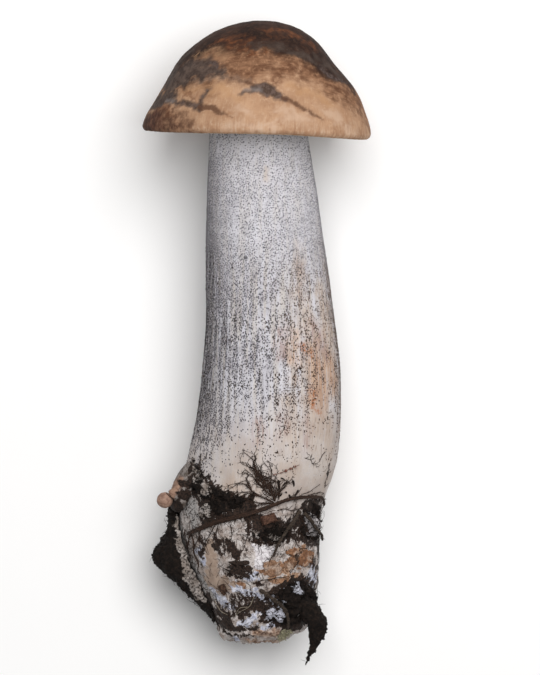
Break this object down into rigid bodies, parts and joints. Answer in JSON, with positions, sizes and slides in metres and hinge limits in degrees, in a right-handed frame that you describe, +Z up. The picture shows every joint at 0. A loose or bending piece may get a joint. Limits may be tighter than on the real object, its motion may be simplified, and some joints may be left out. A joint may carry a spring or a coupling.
{
  "type": "birch bolete mushroom",
  "caption": "Picked birch bolete lying on its side: domed brown cap, pore layer, thick scaly stem, and a foot caked in soil, roots and leaf litter.",
  "frame": {"origin": "on the surface the mushroom lies on, under the middle of its bounding box", "axes": "+Y runs along the stem from the foot to the cap, +Z is up from the surface, +X is across the stem"},
  "size_m": [0.0604, 0.1708, 0.0574],
  "materials": {
    "cap_skin": "matt, finely felted",
    "pores": "matt, finely pored",
    "stem_flesh": "matt, scurfy",
    "bud_skin": "matt",
    "soil": "moist, crumbly",
    "root": "matt",
    "bark": "matt",
    "pale_root": "matt",
    "dead_leaf": "matt",
    "moss": "matt"
  },
  "bodies": {
    "root": {"cap": "cap_skin", "pore_layer": "pores", "stem": "stem_flesh", "bud_stem": "stem_flesh", "bud_cap": "bud_skin", "soil_left": "soil", "soil_under": "soil", "soil_groove": "soil", "soil_middle": "soil", "soil_right": "soil", "soil_foot": "soil", "soil_wisp": "soil", "main_root": "root", "root_fan": "root", "stick_long": "bark", "stick_short": "bark", "foot_strap": "bark", "pale_root": "pale_root", "berry_root": "root", "leaf_chip_wide": "dead_leaf", "leaf_chip_small": "dead_leaf", "leaf_chip_right": "dead_leaf", "bark_chip": "bark", "brown_crumb": "bark", "red_crumb": "dead_leaf", "moss_tuft": "moss"}
  },
  "joints": []
}
